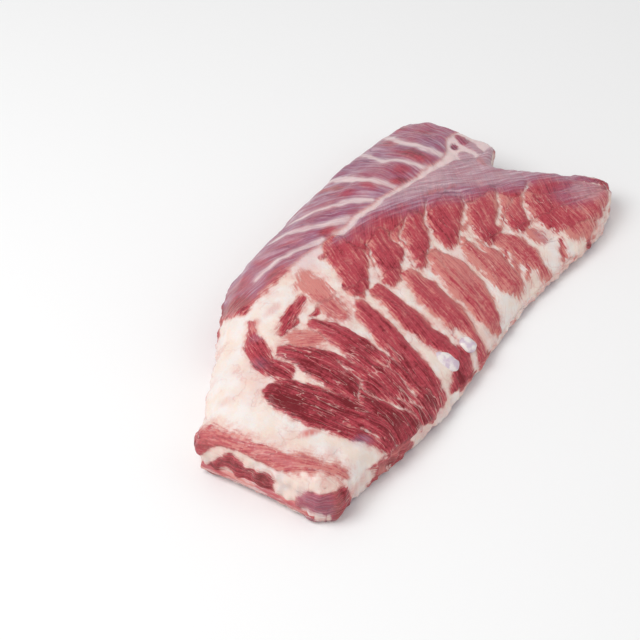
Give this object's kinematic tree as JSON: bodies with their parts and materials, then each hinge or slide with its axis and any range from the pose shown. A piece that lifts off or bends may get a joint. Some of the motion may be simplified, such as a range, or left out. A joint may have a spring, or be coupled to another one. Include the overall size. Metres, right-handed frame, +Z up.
{
  "type": "raw pork spare ribs",
  "caption": "Rack of raw pork spare ribs, bone side down: lobed muscle and fat on top, rib bones running through to the sawn back edge.",
  "frame": {"origin": "centre of the footprint at the table plane", "axes": "+X from the thick shoulder end to the flank end, +Y from the belly edge to the sawn back edge, +Z up"},
  "size_m": [0.462, 0.2344, 0.0676],
  "materials": {
    "meat": "moist raw muscle and fat",
    "bone": "sawn bone, moist",
    "cartilage": "smooth moist cartilage"
  },
  "bodies": {
    "root": {"meat": "meat", "rib_01": "bone", "rib_02": "bone", "rib_03": "bone", "rib_04": "bone", "rib_05": "bone", "rib_06": "bone", "rib_07": "bone", "rib_08": "bone", "rib_09": "bone", "rib_10": "bone", "rib_11": "bone", "rib_12": "bone", "cartilage_1": "cartilage", "cartilage_2": "cartilage"}
  },
  "joints": []
}
